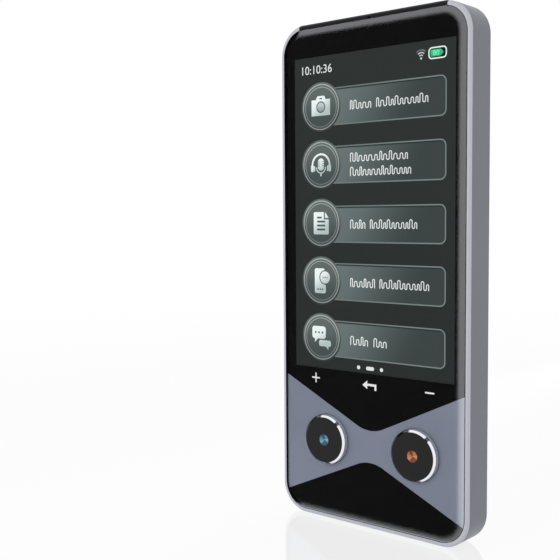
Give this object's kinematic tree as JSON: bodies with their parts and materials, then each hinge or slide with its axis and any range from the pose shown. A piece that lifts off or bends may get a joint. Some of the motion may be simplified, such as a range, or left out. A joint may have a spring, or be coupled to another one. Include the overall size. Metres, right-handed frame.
{
  "type": "handheld translator",
  "caption": "Slim slab translator with a touch screen over a pinched lavender panel, ringed talk buttons, a side power key and SIM tray, a rear camera and a speaker grille.",
  "frame": {"origin": "centre of the flat bottom end, half way through the thickness of the body", "axes": "+Z along the length to the top end, -Y out of the screen, +X to the right seen from the front, so the power key is on the -X side"},
  "size_m": [0.0619, 0.0125, 0.1378],
  "materials": {
    "satin_aluminium": "satin",
    "antenna_plastic": "semi-gloss",
    "bezel_metal": "gloss",
    "camera_glass": "gloss",
    "lens_disc": "gloss",
    "cover_glass": "gloss",
    "black_ink": "gloss",
    "lavender_ink": "gloss",
    "foam": "matt",
    "screen": "gloss",
    "light_guide": "gloss",
    "flex_film": "satin",
    "magnesium": "matt",
    "steel": "brushed",
    "board": "satin",
    "black_plastic": "matt",
    "tray_metal": "satin",
    "card_plastic": "satin",
    "battery_foil": "satin",
    "tape": "matt",
    "chrome": "polished",
    "button_black": "satin",
    "blue_metal": "spun",
    "copper_metal": "spun",
    "key_metal": "satin",
    "socket_plastic": "matt",
    "mesh": "matt",
    "microphone_can": "satin"
  },
  "bodies": {
    "housing": {"rear_shell": "satin_aluminium", "antenna_cap": "antenna_plastic", "camera_bezel": "bezel_metal", "camera_window": "camera_glass", "camera_disc": "lens_disc", "camera_module": "black_plastic", "cover_lens": "cover_glass", "black_print": "black_ink", "bow_tie_print": "lavender_ink", "lens_gasket": "foam", "display_panel": "screen", "backlight_unit": "light_guide", "display_flex": "flex_film", "mid_frame": "magnesium", "frame_screws": "steel", "main_board": "board", "main_chips": "black_plastic", "processor_shield": "steel", "radio_shield": "steel", "front_shield": "steel", "sim_reader": "steel", "battery_cell": "battery_foil", "battery_tape": "tape", "battery_lead": "flex_film", "battery_socket": "socket_plastic", "link_ribbon": "flex_film", "button_board": "board", "board_screws": "steel", "power_switch_body": "steel", "power_bracket": "steel", "usb_port": "steel", "usb_tongue": "black_plastic", "speaker_frame": "black_plastic", "speaker_cone": "black_plastic", "speaker_gasket": "foam", "speaker_mesh": "mesh", "top_microphone": "microphone_can", "bottom_microphone": "microphone_can", "antenna_flex": "flex_film", "left_switch_body": "steel", "right_switch_body": "steel"},
    "left_button": {"left_ring": "chrome", "left_cap": "button_black", "left_dot": "blue_metal", "left_carrier": "black_plastic", "left_switch_stem": "black_plastic"},
    "right_button": {"right_ring": "chrome", "right_cap": "button_black", "right_dot": "copper_metal", "right_carrier": "black_plastic", "right_switch_stem": "black_plastic"},
    "power_button": {"power_key": "key_metal", "power_switch_stem": "black_plastic"},
    "card_tray": {"sim_tray": "tray_metal", "sim_card": "card_plastic"},
    "ejector_rod": {"eject_rod": "steel"},
    "ejector_lever": {"eject_lever": "steel"}
  },
  "joints": [
    {"name": "left_button_press", "type": "slide", "parent": "housing", "child": "left_button", "axis": [0, 1, 0], "range_m": [0, 0.00045], "stiffness_N_per_m": 4000, "springref_m": -0.0001},
    {"name": "right_button_press", "type": "slide", "parent": "housing", "child": "right_button", "axis": [0, 1, 0], "range_m": [0, 0.00045], "stiffness_N_per_m": 4000, "springref_m": -0.0001},
    {"name": "power_key_press", "type": "slide", "parent": "housing", "child": "power_button", "axis": [1, 0, 0], "range_m": [0, 0.0004], "stiffness_N_per_m": 4000, "springref_m": -0.0001},
    {"name": "card_tray_slide", "type": "slide", "parent": "housing", "child": "card_tray", "axis": [-1, 0, 0], "range_m": [0, 0.014]},
    {"name": "eject_rod_push", "type": "slide", "parent": "housing", "child": "ejector_rod", "axis": [1, 0, 0], "range_m": [0, 0.0009]},
    {"name": "eject_lever_turn", "type": "hinge", "parent": "housing", "child": "ejector_lever", "pos_m": [-0.014, 0, 0.0873], "axis": [0, 1, 0], "range_deg": [0, 15.4]}
  ],
  "couplings": [
    {"joint": "eject_lever_turn", "follows": "eject_rod_push", "rad_per_m": 297.6}
  ]
}
